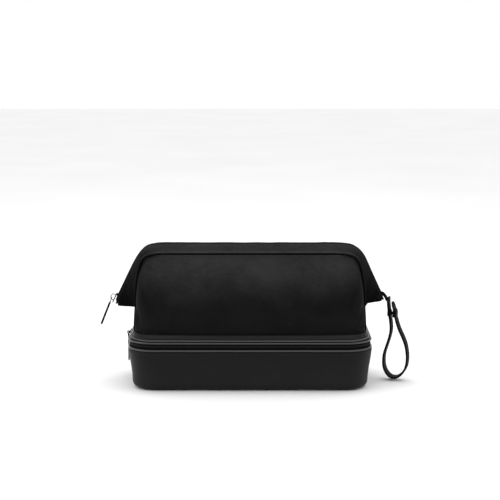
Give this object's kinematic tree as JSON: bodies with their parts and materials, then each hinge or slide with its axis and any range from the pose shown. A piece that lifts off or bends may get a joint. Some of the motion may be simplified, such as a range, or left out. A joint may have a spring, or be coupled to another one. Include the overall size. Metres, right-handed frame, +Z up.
{
  "type": "shaving kit bag",
  "caption": "Wide-mouth shaving kit bag: framed canvas top that zips shut, lid that lifts off a zipped leather-look base tray, and a wrist strap with a snap.",
  "frame": {"origin": "middle of the base's flat underside, on the table", "axes": "+X along the bag to the right as seen from the front, +Y to the back, where the lid hinges, +Z up"},
  "size_m": [0.3492, 0.1224, 0.159],
  "materials": {
    "faux_leather": "semi-matt smooth grain",
    "canvas": "matt plain weave",
    "lining": "smooth woven polyester",
    "zip_tape": "woven tape",
    "zip_teeth": "satin nylon coil",
    "board": "plain stiffener board",
    "dark_metal": "black-plated, satin",
    "steel_wire": "drawn wire"
  },
  "bodies": {
    "base": {"base_floor": "faux_leather", "base_board": "board", "base_wall": "faux_leather", "base_lining": "lining", "base_lip": "faux_leather", "base_zip_tape": "zip_tape", "base_zip_teeth": "zip_teeth", "base_zip_stops": "dark_metal", "hinge_strip": "faux_leather"},
    "upper": {"lid_deck": "board", "lid_band": "faux_leather", "lid_piping": "faux_leather", "lid_zip_tape": "zip_tape", "lid_zip_teeth": "zip_teeth", "deck_lining": "lining", "front_panel_lower": "canvas", "back_panel_lower": "canvas", "body_lining": "lining", "gusset_left": "canvas", "gusset_right": "canvas", "pivot_rivets": "dark_metal", "strap_tab": "canvas"},
    "front_frame": {"front_frame_bar": "steel_wire", "front_strip": "canvas", "front_panel": "canvas", "front_lining": "lining", "front_zip_tape": "zip_tape", "front_zip_teeth": "zip_teeth", "top_zip_stops": "dark_metal"},
    "back_frame": {"back_frame_bar": "steel_wire", "back_strip": "canvas", "back_panel": "canvas", "back_lining": "lining", "back_zip_tape": "zip_tape", "back_zip_teeth": "zip_teeth"},
    "top_slider": {"top_slider": "dark_metal"},
    "top_pull": {"top_pull": "dark_metal"},
    "base_slider": {"base_slider": "dark_metal"},
    "base_pull": {"base_pull": "dark_metal"},
    "strap": {"strap_band": "faux_leather", "snap_stud": "dark_metal"},
    "strap_end": {"strap_flap": "faux_leather", "snap_cap": "dark_metal"}
  },
  "joints": [
    {"name": "lid_hinge", "type": "hinge", "parent": "base", "child": "upper", "pos_m": [0, 0.062, 0.05], "axis": [-1, 0, 0], "range_deg": [0, 105], "deforming": ["hinge_strip"]},
    {"name": "front_frame_hinge", "type": "hinge", "parent": "upper", "child": "front_frame", "pos_m": [0, 0, 0.0845], "axis": [1, 0, 0], "range_deg": [0, 30], "deforming": ["front_zip_tape", "front_zip_teeth"]},
    {"name": "back_frame_hinge", "type": "hinge", "parent": "upper", "child": "back_frame", "pos_m": [0, 0, 0.0845], "axis": [-1, 0, 0], "range_deg": [0, 30], "deforming": ["back_zip_tape", "back_zip_teeth"]},
    {"name": "top_slider_slide", "type": "slide", "parent": "front_frame", "child": "top_slider", "axis": [0.432, 0, 0.9019], "range_m": [0, 0.046]},
    {"name": "top_pull_hinge", "type": "hinge", "parent": "top_slider", "child": "top_pull", "pos_m": [-0.15529, 0, 0.0948], "axis": [0, 1, 0], "range_deg": [0, 140]},
    {"name": "base_slider_slide", "type": "slide", "parent": "base", "child": "base_slider", "axis": [0, -1, 0], "range_m": [0, 0.044]},
    {"name": "base_pull_hinge", "type": "hinge", "parent": "base_slider", "child": "base_pull", "pos_m": [-0.13915, 0.022, 0.05], "axis": [0, 1, 0], "range_deg": [0, 95]},
    {"name": "strap_hinge", "type": "hinge", "parent": "upper", "child": "strap", "pos_m": [0.156, 0, 0.094], "axis": [-0.2756, -0.9613, 0], "range_deg": [0, 80]},
    {"name": "strap_unsnap", "type": "hinge", "parent": "strap", "child": "strap_end", "pos_m": [0.17532, -0.00554, 0.0126], "axis": [0.2756, 0.9613, 0], "range_deg": [0, 40]}
  ]
}
